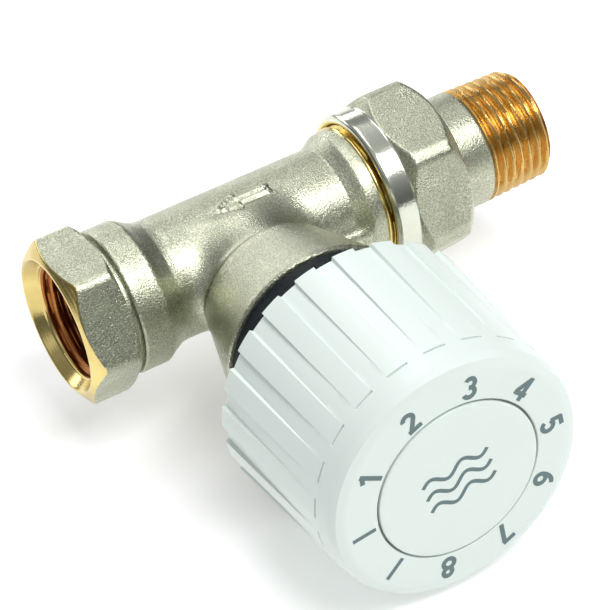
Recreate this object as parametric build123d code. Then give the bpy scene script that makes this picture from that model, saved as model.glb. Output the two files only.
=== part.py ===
from build123d import *
from math import radians, tan
import os

# Straight DN 15 thermostatic radiator valve: a brass body with an internal inlet thread and a
# union-nut outlet, a screwed-in bonnet with the pressure pin, and a snap-on thermostatic head.
#
# Row frame, millimetres: the origin is on the pipe axis, at the mouth of the inlet thread. +X runs
# along the pipe from the inlet to the outlet, -Y points out of the dial and +Z is up.
# Pieces on the knob axis are drawn standing on +Z, where "height" is the distance from the pipe
# axis, and are then laid along -Y. Pieces on the pipe axis are drawn along +Z and laid along +X.

# ---------------------------------------------------------------- driving dimensions
OVERALL_LENGTH = 95.0       # inlet face to outlet tip
BODY_LENGTH = 66.0          # inlet face to the seat of the tailpiece
KNOB_OFFSET = 35.0          # inlet face to the knob axis
LEAD_IN = 2.4               # depth of the conical lead-in before the inlet thread
TUBE_R = 11.1               # outside of the body between the ends
WATER_R = 7.5               # waterway in the body

INLET_X = -LEAD_IN
SEAT_X = INLET_X + BODY_LENGTH
OUTLET_X = INLET_X + OVERALL_LENGTH
KNOB_X = INLET_X + KNOB_OFFSET

# Inlet end
INLET_HEX_AF = 27.0         # across flats
INLET_HEX_LENGTH = 9.0
INLET_CORNER_R = 15.3       # hexagon corners are turned off at this radius
INLET_THREAD_R = 10.48      # G 1/2 major radius
INLET_THREAD_DEPTH = 13.5
INLET_MOUTH_R = 12.3        # outer radius of the machined lead-in
COLLAR_R = 13.2             # round collar behind the inlet hexagon

# Union
UNION_THREAD_R = 13.1       # G 3/4 major radius on the body
UNION_THREAD_X = SEAT_X - 7.4
NUT_AF = 30.0
NUT_CORNER_R = 16.7
NUT_ROUND_R = 14.9          # round part of the union nut
NUT_MOUTH_X = SEAT_X - 6.0
NUT_HEX_X = NUT_MOUTH_X + 4.2
NUT_BACK_X = NUT_MOUTH_X + 15.4
NUT_TURN = 14.0             # degrees the tightened nut's hexagon stands off the inlet's
NUT_SHOULDER_X = SEAT_X + 3.7   # inner shoulder that pulls the tailpiece in

# Tailpiece
TAIL_FLANGE_R = 12.7
TAIL_BODY_R = 10.6
TAIL_BORE_R = 6.6
TAIL_THREAD_R = 10.48       # R 1/2 gauge radius
TAIL_THREAD_X = OUTLET_X - 12.0
TAIL_NOSE_R = 8.9
TAIL_NOSE_X = SEAT_X - 4.1

# Seat and chamber, as heights over the pipe axis
SEAT_BORE_R = 5.0
SEAT_TOP = 2.0              # sealing rim
WEB_TOP = 1.0               # web around the rim
WEB_BOTTOM = -2.6
CHAMBER_R = 8.6
CHAMBER_TOP = 14.0
VALVE_LIFT = 3.2            # gap between seat and seal at rest

# Boss and bonnet
BOSS_R = 17.9               # rim of the boss that carries the head
BOSS_TOP = 30.2
RECESS_R = 15.6
RECESS_FLOOR = BOSS_TOP - 3.2
BONNET_THREAD_R = 10.0
BONNET_TOP = RECESS_FLOOR + 3.2
CAVITY_R = 4.3              # spring cavity in the bonnet
GLAND_R = 5.05
GLAND_LOW = RECESS_FLOOR - 4.2
GLAND_TOP = BONNET_TOP + 3.0
SPINDLE_R = 2.0
RUNNING = 0.05              # radial clearance of a sliding pin
CLIP_HEIGHT = GLAND_LOW - 3.8
PIN_TOP = GLAND_TOP + 3.6   # outer end of the pressure pin

# Base of the head
BASE_R = 17.2               # visible black ring
BASE_FLOOR = BOSS_TOP + 1.2
BASE_TOP = BOSS_TOP + 16.2
BASE_BORE_R = 14.2
BASE_INNER_R = 15.5
BASE_SCREW_RING_R = 13.7
KEY_COUNT = 4
KEY_R = 15.1
SNAP_GROOVE_R = 16.2
SNAP_GROOVE_LOW = BOSS_TOP + 11.2
SNAP_GROOVE_HIGH = SNAP_GROOVE_LOW + 2.0
SHOULDER_R = 16.9
STOP_RING_R = 18.2
STOP_LUG_R = 20.2
STOP_LUG_ANGLE = 90.0       # lug of the stop ring, at the top
STOP_LUG_SPAN = 15.0        # degrees of arc

# Knob
KNOB_BACK = BOSS_TOP + 9.3
KNOB_FACE = KNOB_BACK + 33.2    # height of the dial face
KNOB_BACK_R = 24.6
KNOB_FRONT_R = 23.2
KNOB_EDGE_R = 2.2           # rounding from the band to the dial
KNOB_BORE_R = 21.4
KNOB_WALL_TOP = KNOB_FACE - 3.5     # inner face of the dial wall
FLUTE_COUNT = 21
FLUTE_FRONT = KNOB_FACE - 5.6   # height where the flutes run out
FLUTE_DEPTH = 0.75          # at the back edge
FLUTE_WIDTH = 3.1
FLUTE_TURN = -6.0           # degrees, one flute's place at rest
HUB_R = 14.9
HUB_BORE_R = 13.08
HUB_BACK = BASE_TOP + 3.8
DISC_R = 14.7
DISC_RECESS_R = 14.95
DISC_RECESS_FLOOR = KNOB_FACE - 1.9
DISC_TOP = KNOB_FACE + 0.15
ACCESS_HOLE_R = 11.0
KNOB_LUG_SPAN = 20.0
KNOB_LUG_ANGLE = 241.4      # knob lug at rest: 324 degrees of turn, 133.4 of it clockwise

# Setting sleeve and sensor
SLEEVE_R = 13.0             # outside of the setting sleeve, which is its thread
SLEEVE_BACK = BASE_TOP - 4.2
SLEEVE_FRONT = KNOB_WALL_TOP - 2.6
SENSOR_SEAT_R = 11.2        # bore of the sleeve
SENSOR_LIP_R = 9.6
SENSOR_R = 11.0
SENSOR_WALL = 0.8
SENSOR_BACK = SLEEVE_BACK + 2.0
SENSOR_FRONT = SENSOR_BACK + 15.0
CAP_LOW = SENSOR_FRONT + 4.4
BELLOWS_LOW = SENSOR_BACK + 5.2
BELLOWS_R = 9.0
BELLOWS_ROOT_R = 6.6

KNOB_AXIS = Pos(KNOB_X, 0, 0) * Rot(X=90)
PIPE_AXIS = Rot(Y=90)


# ---------------------------------------------------------------- drawing helpers
def turned(*outline):
    """Solid of revolution about +Z from a closed outline of (radius, height) points."""
    face = Plane.XZ * make_face(Polyline(*outline, close=True))
    return revolve(face, Axis.Z)


def rod(radius, low, high):
    """Cylinder about +Z between two heights."""
    return Pos(0, 0, low) * Cylinder(radius, high - low, align=(Align.CENTER, Align.CENTER, Align.MIN))


def ring(outer, inner, low, high):
    """Tube about +Z between two heights."""
    return rod(outer, low, high) - rod(inner, low - 1, high + 1)


def hexagon(across_flats, low, high, turn=0.0):
    """Hexagonal prism about +Z with two flats facing -X and +X, then turned by an angle."""
    profile = RegularPolygon(across_flats / 2, 6, major_radius=False, rotation=30 + turn)
    return Pos(0, 0, low) * extrude(profile, high - low)


def arc_block(outer, inner, low, high, centre_angle, span):
    """Part of a tube about +Z that covers one span of angle."""
    reach = 2 * outer
    spread = reach * tan(radians(span / 2))
    wedge = make_face(Polyline((0, 0), (reach, -spread), (reach, spread), close=True))
    cutter = Pos(0, 0, low) * extrude(wedge, high - low)
    return Rot(Z=centre_angle) * (ring(outer, inner, low, high) & cutter)


def around(count, shape, first=0.0):
    """The same shape repeated evenly about +Z."""
    return [Rot(Z=first + 360 * index / count) * shape for index in range(count)]


def torus_ring(centre_r, wire_r, height):
    """O-ring about +Z."""
    return Pos(0, 0, height) * Torus(centre_r, wire_r)


def coil_spring(mean_r, wire_r, low, high, turns):
    """Round-wire compression spring about +Z between two heights."""
    path_low = low + wire_r
    length = high - low - 2 * wire_r
    path = Pos(0, 0, path_low) * Helix(pitch=length / turns, height=length, radius=mean_r)
    section = Plane(origin=path @ 0, z_dir=path % 0) * Circle(wire_r)
    return sweep(section, path=path, is_frenet=True)


# ---------------------------------------------------------------- valve body
def body_outside():
    """Casting before the waterways: inlet hexagon, collar, tube, union end and boss."""
    hex_end = INLET_X + INLET_HEX_LENGTH
    chamfered = turned(
        (0, INLET_X),
        (13.4, INLET_X),
        (INLET_CORNER_R, INLET_X + 1.6),
        (INLET_CORNER_R, hex_end - 0.9),
        (14.2, hex_end),
        (0, hex_end),
    )
    inlet_hex = hexagon(INLET_HEX_AF, INLET_X, hex_end) & chamfered
    pipe = turned(
        (0, hex_end - 1),
        (12.3, hex_end - 1),
        (12.3, hex_end + 1.3),
        (COLLAR_R - 0.5, hex_end + 1.3),
        (COLLAR_R, hex_end + 1.8),
        (COLLAR_R, hex_end + 6.2),
        (COLLAR_R - 0.5, hex_end + 6.9),
        (TUBE_R, hex_end + 10.6),
        (TUBE_R, UNION_THREAD_X - 3.6),
        (12.3, UNION_THREAD_X - 2.2),
        (12.6, UNION_THREAD_X),
        (UNION_THREAD_R, UNION_THREAD_X + 0.5),
        (UNION_THREAD_R, SEAT_X - 0.5),
        (UNION_THREAD_R - 0.5, SEAT_X),
        (0, SEAT_X),
    )
    boss = turned(
        (0, 0),
        (10.9, 0),
        (11.4, 11.6),
        (12.7, 13.4),
        (13.3, 14.8),
        (BOSS_R, BOSS_TOP - 0.8),
        (BOSS_R, BOSS_TOP),
        (0, BOSS_TOP),
    )
    return PIPE_AXIS * (inlet_hex + pipe) + KNOB_AXIS * boss


def waterways():
    """Everything that is bored out of the casting, in the row frame."""
    inlet = turned(
        (0, INLET_X - 1),
        (INLET_MOUTH_R, INLET_X - 1),
        (INLET_MOUTH_R, INLET_X),
        (INLET_THREAD_R, INLET_X + LEAD_IN),
        (INLET_THREAD_R, INLET_X + INLET_THREAD_DEPTH),
        (WATER_R, INLET_X + INLET_THREAD_DEPTH + 1.6),
        (WATER_R, KNOB_X - 11),
        (0, KNOB_X - 11),
    )
    outlet = turned(
        (0, KNOB_X + 9.5),
        (WATER_R, KNOB_X + 9.5),
        (WATER_R, TAIL_NOSE_X - 0.5),
        (TAIL_NOSE_R + 0.1, TAIL_NOSE_X - 0.5),
        (TAIL_NOSE_R + 0.1, SEAT_X + 1),
        (0, SEAT_X + 1),
    )
    # Under the seat the water runs in the half of the tube away from the knob, and over the seat
    # in the half towards it.
    under = Box(18.5, 20, 20, align=(Align.MIN, Align.MIN, Align.CENTER))
    under = Pos(KNOB_X - 12, -WEB_BOTTOM, 0) * under
    over = Box(14, 20, 20, align=(Align.MIN, Align.MAX, Align.CENTER))
    over = Pos(KNOB_X, -WEB_TOP, 0) * over
    under_seat = under & (PIPE_AXIS * rod(8.8, KNOB_X - 12, KNOB_X + 6.5))
    over_seat = over & (PIPE_AXIS * rod(8.0, KNOB_X, KNOB_X + 13))
    bonnet_bore = turned(
        (0, WEB_TOP),
        (CHAMBER_R, WEB_TOP),
        (CHAMBER_R, CHAMBER_TOP),
        (BONNET_THREAD_R, CHAMBER_TOP),
        (BONNET_THREAD_R, RECESS_FLOOR),
        (RECESS_R, RECESS_FLOOR),
        (RECESS_R, BOSS_TOP + 1),
        (0, BOSS_TOP + 1),
    )
    seat_bore = rod(SEAT_BORE_R, WEB_BOTTOM - 2, SEAT_TOP + 1)
    pipe_side = PIPE_AXIS * (inlet + outlet) + under_seat + over_seat
    return pipe_side + KNOB_AXIS * (bonnet_bore + seat_bore)


def base_screw_places():
    """Three screw positions around the bonnet."""
    return around(3, Pos(BASE_SCREW_RING_R, 0, 0), first=30)


def valve_body():
    seat_rim = KNOB_AXIS * ring(6.2, SEAT_BORE_R, WEB_TOP - 0.5, SEAT_TOP)
    body = body_outside() - waterways() + seat_rim
    for place in base_screw_places():
        body -= KNOB_AXIS * (place * rod(1.5, RECESS_FLOOR - 4.0, RECESS_FLOOR + 1))
    return body


# ---------------------------------------------------------------- union end
def union_nut():
    round_part = turned(
        (0, NUT_MOUTH_X),
        (NUT_ROUND_R - 0.9, NUT_MOUTH_X),
        (NUT_ROUND_R - 0.3, NUT_MOUTH_X + 0.3),
        (NUT_ROUND_R, NUT_MOUTH_X + 1.0),
        (NUT_ROUND_R, NUT_HEX_X + 1),
        (0, NUT_HEX_X + 1),
    )
    chamfered = turned(
        (0, NUT_HEX_X),
        (NUT_ROUND_R, NUT_HEX_X),
        (NUT_CORNER_R, NUT_HEX_X + 1.6),
        (NUT_CORNER_R, NUT_BACK_X - 2.2),
        (14.7, NUT_BACK_X),
        (0, NUT_BACK_X),
    )
    outside = round_part + (hexagon(NUT_AF, NUT_HEX_X, NUT_BACK_X, NUT_TURN) & chamfered)
    bore = turned(
        (0, NUT_MOUTH_X - 1),
        (13.9, NUT_MOUTH_X - 1),
        (13.9, NUT_MOUTH_X),
        (UNION_THREAD_R + 0.08, NUT_MOUTH_X + 0.9),
        (UNION_THREAD_R + 0.08, NUT_SHOULDER_X),
        (TAIL_BODY_R + 0.1, NUT_SHOULDER_X),
        (TAIL_BODY_R + 0.1, NUT_BACK_X + 1),
        (0, NUT_BACK_X + 1),
    )
    return PIPE_AXIS * (outside - bore)


def tailpiece():
    groove_low = TAIL_NOSE_X + 0.9
    outline = turned(
        (TAIL_BORE_R, TAIL_NOSE_X),
        (TAIL_NOSE_R, TAIL_NOSE_X),
        (TAIL_NOSE_R, groove_low),
        (7.65, groove_low),
        (7.65, groove_low + 1.4),
        (TAIL_NOSE_R, groove_low + 1.4),
        (TAIL_NOSE_R, SEAT_X),
        (TAIL_FLANGE_R, SEAT_X),
        (TAIL_FLANGE_R, NUT_SHOULDER_X - 0.1),
        (TAIL_BODY_R, NUT_SHOULDER_X - 0.1),
        (TAIL_BODY_R, TAIL_THREAD_X - 0.6),
        (TAIL_THREAD_R, TAIL_THREAD_X),
        (TAIL_THREAD_R, OUTLET_X - 0.5),
        (TAIL_THREAD_R - 0.7, OUTLET_X),
        (TAIL_BORE_R + 0.9, OUTLET_X),
        (TAIL_BORE_R, OUTLET_X - 0.9),
    )
    # Two inner lugs take the stepped key that turns the tailpiece into the radiator.
    lug = Pos(TAIL_BORE_R - 0.2, 0, OUTLET_X - 10) * Box(1.6, 2.4, 8, align=Align.CENTER)
    lugs = around(2, lug)
    return PIPE_AXIS * (outline + lugs[0] + lugs[1])


def tail_oring():
    return PIPE_AXIS * torus_ring(8.27, 0.6, TAIL_NOSE_X + 1.6)


# ---------------------------------------------------------------- bonnet and stem
def bonnet_insert():
    """Brass housing screwed into the boss: nose, O-ring groove, thread and hexagon."""
    nose = CHAMBER_TOP - 3.3
    stem = turned(
        (SPINDLE_R + RUNNING, nose),
        (6.6, nose),
        (8.4, nose + 1.0),
        (8.4, CHAMBER_TOP - 1.5),
        (7.3, CHAMBER_TOP - 1.5),
        (7.3, CHAMBER_TOP),
        (9.4, CHAMBER_TOP),
        (BONNET_THREAD_R, CHAMBER_TOP + 0.6),
        (BONNET_THREAD_R, RECESS_FLOOR - 2.4),
        (9.2, RECESS_FLOOR - 2.0),
        (9.2, RECESS_FLOOR + 0.2),
        (GLAND_R, RECESS_FLOOR + 0.2),
        (GLAND_R, GLAND_LOW - 0.1),
        (CAVITY_R, GLAND_LOW - 0.1),
        (CAVITY_R, nose + 1.4),
        (SPINDLE_R + RUNNING, nose + 1.4),
    )
    crown = turned(
        (0, RECESS_FLOOR),
        (11.3, RECESS_FLOOR),
        (11.3, BONNET_TOP - 0.8),
        (10.2, BONNET_TOP),
        (0, BONNET_TOP),
    )
    head = hexagon(20, RECESS_FLOOR, BONNET_TOP) & crown
    return KNOB_AXIS * (stem + (head - rod(GLAND_R, RECESS_FLOOR - 1, BONNET_TOP + 1)))


def bonnet_oring():
    return KNOB_AXIS * torus_ring(7.95, 0.6, CHAMBER_TOP - 0.75)


def gland_nut():
    """Replaceable packing gland: threaded shank, hexagon and the pin's guide."""
    bore_r = SPINDLE_R + RUNNING
    shank = ring(GLAND_R, 3.75, GLAND_LOW, GLAND_LOW + 2.4)
    shank += ring(GLAND_R, bore_r, GLAND_LOW + 2.4, BONNET_TOP)
    crown = turned(
        (0, BONNET_TOP),
        (6.2, BONNET_TOP),
        (6.2, GLAND_TOP - 0.5),
        (5.4, GLAND_TOP),
        (0, GLAND_TOP),
    )
    head = (hexagon(11, BONNET_TOP, GLAND_TOP) & crown) - rod(bore_r, BONNET_TOP - 1, GLAND_TOP + 1)
    return KNOB_AXIS * (shank + head)


def gland_oring():
    return KNOB_AXIS * torus_ring(2.9, 0.8, GLAND_LOW + 1.5)


def gland_washer():
    return KNOB_AXIS * ring(4.2, SPINDLE_R + RUNNING, GLAND_LOW - 0.8, GLAND_LOW - 0.1)


def return_spring():
    return KNOB_AXIS * coil_spring(3.3, 0.4, CHAMBER_TOP - 1.9, CLIP_HEIGHT, 3.5)


def spindle():
    """Stainless pressure pin, from the valve disc to the head."""
    return KNOB_AXIS * turned(
        (0, SEAT_TOP + VALVE_LIFT - 0.9),
        (1.5, SEAT_TOP + VALVE_LIFT - 0.9),
        (1.5, SEAT_TOP + VALVE_LIFT + 3.2),
        (SPINDLE_R, SEAT_TOP + VALVE_LIFT + 3.2),
        (SPINDLE_R, CLIP_HEIGHT),
        (1.6, CLIP_HEIGHT),
        (1.6, CLIP_HEIGHT + 0.6),
        (SPINDLE_R, CLIP_HEIGHT + 0.6),
        (SPINDLE_R, PIN_TOP - 0.4),
        (SPINDLE_R - 0.4, PIN_TOP),
        (0, PIN_TOP),
    )


def spindle_clip():
    """Slotted clip in the pin's groove, which carries the return spring."""
    clip = ring(3.7, 1.6, CLIP_HEIGHT, CLIP_HEIGHT + 0.6)
    slot = Pos(2.5, 0, CLIP_HEIGHT) * Box(5, 2.2, 2)
    return KNOB_AXIS * (clip - slot)


def valve_disc():
    """Brass holder of the soft seal."""
    low = SEAT_TOP + VALVE_LIFT
    return KNOB_AXIS * turned(
        (1.5, low + 1.4),
        (6.4, low + 1.4),
        (6.4, low),
        (7.2, low),
        (7.2, low + 2.0),
        (5.0, low + 3.2),
        (1.5, low + 3.2),
    )


def disc_seal():
    low = SEAT_TOP + VALVE_LIFT
    return KNOB_AXIS * ring(6.4, 1.5, low, low + 1.4)


def seal_screw():
    """Countersunk screw head under the seal, riveted on the end of the pin."""
    low = SEAT_TOP + VALVE_LIFT
    return KNOB_AXIS * (rod(3.0, low - 1.1, low) - rod(1.5, low - 0.9, low + 1))


# ---------------------------------------------------------------- head base
def base_ring():
    """Black plastic base: screwed into the boss, guides the sleeve and holds the knob."""
    shell = turned(
        (12.0, RECESS_FLOOR),
        (RECESS_R - 0.1, RECESS_FLOOR),
        (RECESS_R - 0.1, BOSS_TOP),
        (BASE_R, BOSS_TOP),
        (BASE_R, SNAP_GROOVE_LOW),
        (SNAP_GROOVE_R, SNAP_GROOVE_LOW),
        (SNAP_GROOVE_R, SNAP_GROOVE_HIGH),
        (SHOULDER_R, SNAP_GROOVE_HIGH),
        (SHOULDER_R, BASE_TOP - 0.5),
        (SHOULDER_R - 0.5, BASE_TOP),
        (BASE_BORE_R, BASE_TOP),
        (BASE_BORE_R, BASE_TOP - 9.0),
        (BASE_INNER_R, BASE_TOP - 11.0),
        (BASE_INNER_R, BASE_FLOOR),
        (12.0, BASE_FLOOR),
    )
    keyway = Pos(BASE_BORE_R, 0, BASE_TOP - 4) * Box(2 * (KEY_R + 0.3 - BASE_BORE_R), 3.4, 14)
    for cut in around(KEY_COUNT, keyway, first=45):
        shell -= cut
    for place in base_screw_places():
        shell -= place * rod(1.6, RECESS_FLOOR - 1, BASE_FLOOR + 1)
    # Pointer that the dial is read against, on top of the visible ring.
    pointer = Rot(Z=STOP_LUG_ANGLE) * (Pos(BASE_R, 0, BOSS_TOP + 4) * Box(0.9, 1.6, 4.4))
    return KNOB_AXIS * (shell + pointer)


def base_screws():
    """Three pan-head screws that hold the base in the boss."""
    screw = rod(1.5, RECESS_FLOOR - 3.5, BASE_FLOOR) + rod(1.7, BASE_FLOOR, BASE_FLOOR + 1.6)
    slot = Box(0.6, 4.0, 1.5, align=(Align.CENTER, Align.CENTER, Align.MIN))
    screw -= Pos(0, 0, BASE_FLOOR + 0.8) * slot
    return Compound([KNOB_AXIS * (place * screw) for place in base_screw_places()])


def stop_ring():
    """Ring with the lug that ends the knob's turn; it can be set over to limit the range."""
    low = SNAP_GROOVE_HIGH + 0.1
    band = ring(STOP_RING_R, SHOULDER_R, low, BASE_TOP)
    lug = arc_block(STOP_LUG_R, SHOULDER_R + 0.5, low, BASE_TOP, STOP_LUG_ANGLE, STOP_LUG_SPAN)
    return KNOB_AXIS * (band + lug)


# ---------------------------------------------------------------- setting sleeve and sensor
def setting_sleeve():
    """Carrier of the sensor. Its thread runs in the knob and its keys in the base."""
    shell = turned(
        (SENSOR_LIP_R, SLEEVE_BACK),
        (BASE_BORE_R - 0.3, SLEEVE_BACK),
        (BASE_BORE_R - 0.3, SLEEVE_BACK + 4),
        (SLEEVE_R, SLEEVE_BACK + 4.9),
        (SLEEVE_R, SLEEVE_FRONT),
        (SENSOR_SEAT_R, SLEEVE_FRONT),
        (SENSOR_SEAT_R, SENSOR_BACK),
        (SENSOR_LIP_R, SENSOR_BACK),
    )
    key = Pos(SLEEVE_R, 0, SLEEVE_BACK + 2) * Box(2 * (KEY_R - SLEEVE_R), 3.0, 4)
    keys = around(KEY_COUNT, key, first=45)
    inside = rod(SENSOR_SEAT_R, SLEEVE_BACK, SLEEVE_FRONT)
    for one in keys:
        shell += one - inside
    return KNOB_AXIS * shell


def sensor_housing():
    """Cup around the bellows, filled with the expanding fluid."""
    return KNOB_AXIS * turned(
        (0, SENSOR_FRONT),
        (SENSOR_R - 1, SENSOR_FRONT),
        (SENSOR_R, SENSOR_FRONT - 1),
        (SENSOR_R, SENSOR_BACK),
        (SENSOR_R - SENSOR_WALL, SENSOR_BACK),
        (SENSOR_R - SENSOR_WALL, SENSOR_FRONT - 1),
        (0, SENSOR_FRONT - 1),
    )


def sensor_cover():
    """Plate that closes the cup and guides the push rod."""
    return KNOB_AXIS * ring(SENSOR_R - SENSOR_WALL, 2.55, SENSOR_BACK, SENSOR_BACK + 1.4)


def bellows():
    """Corrugated metal bellows, fixed at the front and pushing the rod at the back."""
    high = SENSOR_FRONT - 1
    folds = 5
    pitch = (high - BELLOWS_LOW - 0.8) / folds
    outline = [(0, high), (BELLOWS_R, high)]
    for index in range(folds):
        crest = high - 0.4 - index * pitch
        root = crest - pitch / 2
        outline += [(BELLOWS_R, crest), (BELLOWS_ROOT_R, root + 0.2), (BELLOWS_ROOT_R, root - 0.2)]
    outline += [(BELLOWS_R, BELLOWS_LOW + 0.4), (BELLOWS_R, BELLOWS_LOW), (0, BELLOWS_LOW)]
    return KNOB_AXIS * turned(*outline)


def push_rod():
    return KNOB_AXIS * turned(
        (0, PIN_TOP),
        (3.4, PIN_TOP),
        (3.4, PIN_TOP + 1.2),
        (2.5, PIN_TOP + 2.0),
        (2.5, BELLOWS_LOW - 1.2),
        (6.0, BELLOWS_LOW - 1.2),
        (6.0, BELLOWS_LOW),
        (0, BELLOWS_LOW),
    )


def overtravel_spring():
    return KNOB_AXIS * coil_spring(8.4, 0.7, SENSOR_FRONT, CAP_LOW, 2.2)


def spring_cap():
    """Snap-in cap that holds the overtravel spring in the sleeve."""
    return KNOB_AXIS * turned(
        (3.0, CAP_LOW),
        (SENSOR_SEAT_R, CAP_LOW),
        (SENSOR_SEAT_R, CAP_LOW + 2.0),
        (7.5, CAP_LOW + 2.0),
        (7.5, CAP_LOW + 1.4),
        (3.0, CAP_LOW + 1.4),
    )


# ---------------------------------------------------------------- knob
def handwheel():
    """White fluted knob with its setting thread, snap flange and stop lug."""
    edge_r = KNOB_FRONT_R - 0.35
    outside = turned(
        (0, KNOB_BACK),
        (KNOB_BACK_R, KNOB_BACK),
        (KNOB_FRONT_R, FLUTE_FRONT),
        (edge_r, KNOB_FACE),
        (0, KNOB_FACE),
    )
    front_edge = outside.edges().sort_by(Axis.Z)[-1]
    outside = fillet(front_edge, KNOB_EDGE_R)
    skirt = outside - rod(KNOB_BORE_R, KNOB_BACK - 1, KNOB_WALL_TOP)
    knob = skirt + ring(HUB_R, HUB_BORE_R, HUB_BACK, KNOB_WALL_TOP + 0.5)
    knob += ring(KNOB_BORE_R + 0.5, SNAP_GROOVE_R + 0.3, SNAP_GROOVE_LOW + 0.25, SNAP_GROOVE_HIGH - 0.25)
    knob += arc_block(
        KNOB_BORE_R + 0.5, STOP_RING_R + 0.3, SNAP_GROOVE_HIGH - 0.5, BASE_TOP,
        KNOB_LUG_ANGLE, KNOB_LUG_SPAN,
    )
    knob -= rod(DISC_RECESS_R, DISC_RECESS_FLOOR, KNOB_FACE + 1)
    knob -= rod(ACCESS_HOLE_R, KNOB_WALL_TOP - 1, KNOB_FACE + 1)
    flute = Plane.XZ * make_face(
        Polyline(
            (KNOB_BACK_R - FLUTE_DEPTH, KNOB_BACK - 1),
            (KNOB_FRONT_R - 0.1, FLUTE_FRONT),
            (KNOB_BACK_R + 3, FLUTE_FRONT),
            (KNOB_BACK_R + 3, KNOB_BACK - 1),
            close=True,
        )
    )
    for cut in around(FLUTE_COUNT, extrude(flute, FLUTE_WIDTH / 2, both=True), first=FLUTE_TURN):
        knob -= cut
    return KNOB_AXIS * knob


def cap_disc():
    """Snap-in disc in the middle of the dial, on three sprung legs."""
    plate = rod(DISC_R, DISC_RECESS_FLOOR, DISC_TOP)
    plate = chamfer(plate.edges().sort_by(Axis.Z)[-1], 0.25)
    for index in range(3):
        leg = arc_block(ACCESS_HOLE_R - 0.2, 9.6, KNOB_WALL_TOP - 0.4, DISC_RECESS_FLOOR + 0.5, 0, 24)
        plate += Rot(Z=30 + 120 * index) * leg
    return KNOB_AXIS * plate


# ---------------------------------------------------------------- write the nodes
NODES = {
    "valve_body": valve_body,
    "union_nut": union_nut,
    "tailpiece": tailpiece,
    "tail_oring": tail_oring,
    "bonnet_insert": bonnet_insert,
    "bonnet_oring": bonnet_oring,
    "gland_nut": gland_nut,
    "gland_oring": gland_oring,
    "gland_washer": gland_washer,
    "return_spring": return_spring,
    "spindle": spindle,
    "spindle_clip": spindle_clip,
    "valve_disc": valve_disc,
    "disc_seal": disc_seal,
    "seal_screw": seal_screw,
    "base_ring": base_ring,
    "base_screws": base_screws,
    "stop_ring": stop_ring,
    "setting_sleeve": setting_sleeve,
    "sensor_housing": sensor_housing,
    "sensor_cover": sensor_cover,
    "bellows": bellows,
    "push_rod": push_rod,
    "overtravel_spring": overtravel_spring,
    "spring_cap": spring_cap,
    "handwheel": handwheel,
    "cap_disc": cap_disc,
}

os.makedirs("parts", exist_ok=True)
for name, make in NODES.items():
    export_step(make(), f"parts/{name}.step")
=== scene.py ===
import math

import bpy
import numpy as np
from mathutils import Matrix, Vector


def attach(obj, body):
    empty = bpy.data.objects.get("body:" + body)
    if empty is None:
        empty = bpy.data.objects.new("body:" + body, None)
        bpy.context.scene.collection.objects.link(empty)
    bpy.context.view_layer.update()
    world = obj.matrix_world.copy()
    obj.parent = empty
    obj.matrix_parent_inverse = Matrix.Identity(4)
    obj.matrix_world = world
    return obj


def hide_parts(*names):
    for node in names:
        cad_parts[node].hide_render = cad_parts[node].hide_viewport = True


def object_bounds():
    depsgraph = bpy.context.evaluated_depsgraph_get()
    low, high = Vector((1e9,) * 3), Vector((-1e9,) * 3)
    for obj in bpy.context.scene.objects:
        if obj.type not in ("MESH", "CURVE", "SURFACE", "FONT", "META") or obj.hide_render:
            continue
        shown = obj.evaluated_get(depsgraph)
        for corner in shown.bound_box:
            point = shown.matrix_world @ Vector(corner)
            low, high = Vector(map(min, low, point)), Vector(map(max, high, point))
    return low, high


# Looks of a straight thermostatic radiator valve. Sizes are millimetres in the row frame until the
# vertices are written in metres: +X along the pipe, -Y out of the dial, +Z up. On the knob axis,
# "height" is the distance from the pipe axis towards the dial.

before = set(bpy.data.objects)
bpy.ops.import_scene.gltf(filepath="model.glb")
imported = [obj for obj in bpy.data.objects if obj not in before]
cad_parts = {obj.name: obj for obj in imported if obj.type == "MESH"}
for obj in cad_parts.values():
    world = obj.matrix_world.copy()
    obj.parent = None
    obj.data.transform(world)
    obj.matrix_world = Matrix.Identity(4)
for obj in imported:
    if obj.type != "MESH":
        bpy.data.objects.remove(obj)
packed_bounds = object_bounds()
MM = 0.001

# ---------------------------------------------------------------- sizes
KNOB_X = 32.6
INLET_FACE = -2.4
HEX_END = 6.6
COLLAR_START = 7.9
SEAT_FACE = 63.6
UNION_THREAD_X = 56.2
CASTING_END = 57.35
OUTLET_TIP = 92.6
TUBE_R = 11.1
COLLAR_R = 13.2
INLET_AF = 27.0
INLET_CORNER_R = 15.3
PIPE_ROOT_R = 10.48
THREAD_DEPTH = 1.162
THREAD_PITCH = 1.814
WATER_R = 7.5
SOCKET_R = 11.72
SPIGOT_R = 11.42
UNION_CREST_R = 13.08

NUT_MOUTH = 57.6
NUT_HEX_X = 61.8
NUT_BACK = 73.0
NUT_AF = 30.0
NUT_ROUND_R = 14.9
NUT_CORNER_R = 16.7
NUT_THREAD_R = 13.2
NUT_THREAD_END = 67.4
NUT_TURN = -14.0

BOSS_TOP = 30.2
BOSS_R = 17.9
BONNET_R = 10.0
BONNET_STEP_R = 8.6
RECESS_R = 15.6
RECESS_FLOOR = 27.0
KNOB_BACK = 39.5
KNOB_FACE = 72.64
KNOB_BACK_R = 24.6
KNOB_FRONT_R = 23.2
KNOB_BORE_R = 21.4
KNOB_WALL_TOP = 69.2
HUB_R = 14.9
HUB_BORE_R = 13.08
FLUTES = 21
FLUTE_FRONT = 67.1
FLUTE_DEPTH = 0.75
FLUTE_TURN = -6.0
RIB_SHARE = 0.55
SLOT_DEPTH = 0.45
MARK_R = 17.9
DISC_R = 14.7
DISC_TOP = 72.84

CASTING_VOXEL = 0.32
AXIS_R = 0.02


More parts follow.
